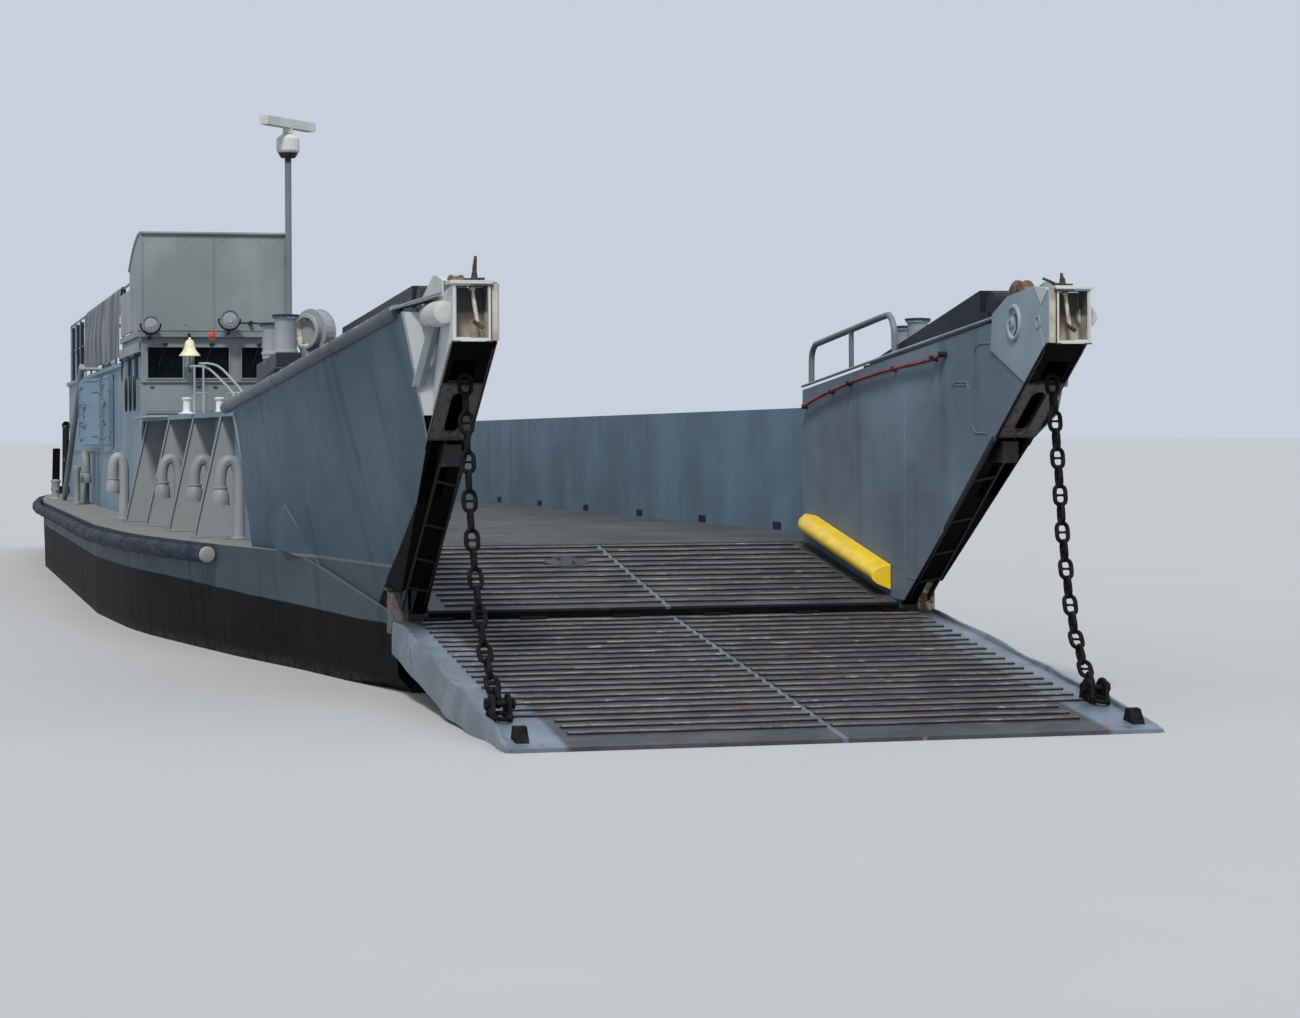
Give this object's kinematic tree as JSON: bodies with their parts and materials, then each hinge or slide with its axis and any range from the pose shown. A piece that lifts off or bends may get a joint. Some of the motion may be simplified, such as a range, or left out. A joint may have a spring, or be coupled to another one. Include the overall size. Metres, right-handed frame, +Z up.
{
  "type": "1:2 scale model of a military landing craft",
  "caption": "Flat-bottomed landing craft at half size, with a lowering bow ramp between flared wings, a drive-through well and an offset pilothouse.",
  "frame": {"origin": "on the flat bottom, on the centreline, 8.34 m aft of the foot of the bow wings", "axes": "+X forward to the bow, +Y to port, +Z up"},
  "size_m": [21.2699, 4.4466, 3.955],
  "materials": {
    "haze_grey": "weathered satin blue-grey paint",
    "house_grey": "satin green-grey paint",
    "deck_grey": "dark non-slip deck paint",
    "ramp_steel": "dark non-slip paint worn to steel and rust on the bars",
    "cover_blue": "dark blue-black satin",
    "fender_rubber": "scuffed dark blue-grey rubber",
    "tip_white": "off-white paint with rust stains",
    "curb_yellow": "bright yellow gloss paint",
    "chain_black": "black worn chain",
    "bottom_black": "matt black bottom paint",
    "bronze": "machined bronze",
    "window_glass": "dark glass"
  },
  "bodies": {
    "hull": {"blower": "house_grey", "bow_slope_tread": "ramp_steel", "bow_wing_port": "haze_grey", "bow_wing_starboard": "haze_grey", "bridge_bulwark": "house_grey", "bridge_deck": "house_grey", "deckhouse_aft_wall": "haze_grey", "deckhouse_roof": "haze_grey", "deckhouse_side_port": "haze_grey", "deckhouse_side_starboard": "haze_grey", "fender_port": "fender_rubber", "fender_starboard": "fender_rubber", "hatch_coaming": "haze_grey", "hull": "haze_grey", "nozzle_port": "haze_grey", "nozzle_starboard": "haze_grey", "pilothouse_back": "house_grey", "pilothouse_front": "house_grey", "pilothouse_glass_front": "window_glass", "pilothouse_glass_port": "window_glass", "pilothouse_glass_starboard": "window_glass", "pilothouse_side_port": "house_grey", "pilothouse_side_starboard": "house_grey", "radar_mast": "tip_white", "ramp_chain_port": "chain_black", "ramp_chain_starboard": "chain_black", "roof_rail": "haze_grey", "side_vent_aft": "haze_grey", "side_vent_fore": "haze_grey", "stern_anchor": "chain_black", "well_bulwark_port": "haze_grey", "well_bulwark_starboard": "haze_grey", "well_deck_plate": "deck_grey", "wheel_curb_port": "curb_yellow", "wheel_curb_starboard": "curb_yellow", "winch_frame": "haze_grey", "wing_cover_port": "cover_blue", "wing_cover_starboard": "cover_blue", "wing_handrail_port": "house_grey"},
    "ramp": {"bow_ramp": "ramp_steel"},
    "door_s1": {"door_starboard_1": "haze_grey"},
    "door_s2": {"door_starboard_2": "haze_grey"},
    "door_w": {"door_well": "haze_grey"},
    "hatch": {"hatch_lid": "haze_grey"},
    "propeller_p": {"propeller_port": "bronze"},
    "propeller_s": {"propeller_starboard": "bronze"},
    "scanner": {"radar_scanner": "tip_white"},
    "rudder_p": {"rudder_port": "bottom_black"},
    "rudder_s": {"rudder_starboard": "bottom_black"},
    "gate": {"stern_gate": "haze_grey"},
    "drum": {"winch_drum": "chain_black"}
  },
  "joints": [
    {"name": "bow_ramp_hinge", "type": "hinge", "parent": "hull", "child": "ramp", "pos_m": [8.39, 0, 0.923], "axis": [0, -1, 0], "range_deg": [0, 38], "deforming": ["ramp_chain_starboard", "ramp_chain_port"]},
    {"name": "stern_gate_hinge", "type": "hinge", "parent": "hull", "child": "gate", "pos_m": [-9.97, 0, 1.285], "axis": [0, -1, 0], "range_deg": [0, 90]},
    {"name": "propeller_starboard_spin", "type": "hinge", "parent": "hull", "child": "propeller_s", "pos_m": [-9.26, -0.875, 0.39], "axis": [1, 0, 0], "continuous": true},
    {"name": "propeller_port_spin", "type": "hinge", "parent": "hull", "child": "propeller_p", "pos_m": [-9.26, 0.875, 0.39], "axis": [1, 0, 0], "continuous": true},
    {"name": "rudder_starboard_steer", "type": "hinge", "parent": "hull", "child": "rudder_s", "pos_m": [-9.685, -0.875, 0.395], "axis": [0, 0, 1], "range_deg": [-35, 35]},
    {"name": "rudder_port_steer", "type": "hinge", "parent": "hull", "child": "rudder_p", "pos_m": [-9.685, 0.875, 0.395], "axis": [0, 0, 1], "range_deg": [-35, 35]},
    {"name": "radar_scanner_spin", "type": "hinge", "parent": "hull", "child": "scanner", "pos_m": [0.895, -0.75, 3.855], "axis": [0, 0, 1], "continuous": true},
    {"name": "door_starboard_1_hinge", "type": "hinge", "parent": "hull", "child": "door_s1", "pos_m": [-1.96, -1.7685, 1.2], "axis": [0, 0, 1], "range_deg": [-6, 104]},
    {"name": "door_starboard_2_hinge", "type": "hinge", "parent": "hull", "child": "door_s2", "pos_m": [-3.16, -1.7685, 1.2], "axis": [0, 0, 1], "range_deg": [-28, 82]},
    {"name": "door_well_hinge", "type": "hinge", "parent": "hull", "child": "door_w", "pos_m": [-2.24, -0.7465, 1.2], "axis": [0, 0, -1], "range_deg": [0, 110]},
    {"name": "hatch_lid_hinge", "type": "hinge", "parent": "hull", "child": "hatch", "pos_m": [-8.775, -0.88, 1.3525], "axis": [0, 1, 0], "range_deg": [0, 100]},
    {"name": "winch_drum_spin", "type": "hinge", "parent": "hull", "child": "drum", "pos_m": [-8.96, -1.375, 1.575], "axis": [0, 1, 0], "continuous": true}
  ],
  "couplings": [
    {"joint": "rudder_port_steer", "follows": "rudder_starboard_steer", "ratio": 1}
  ]
}
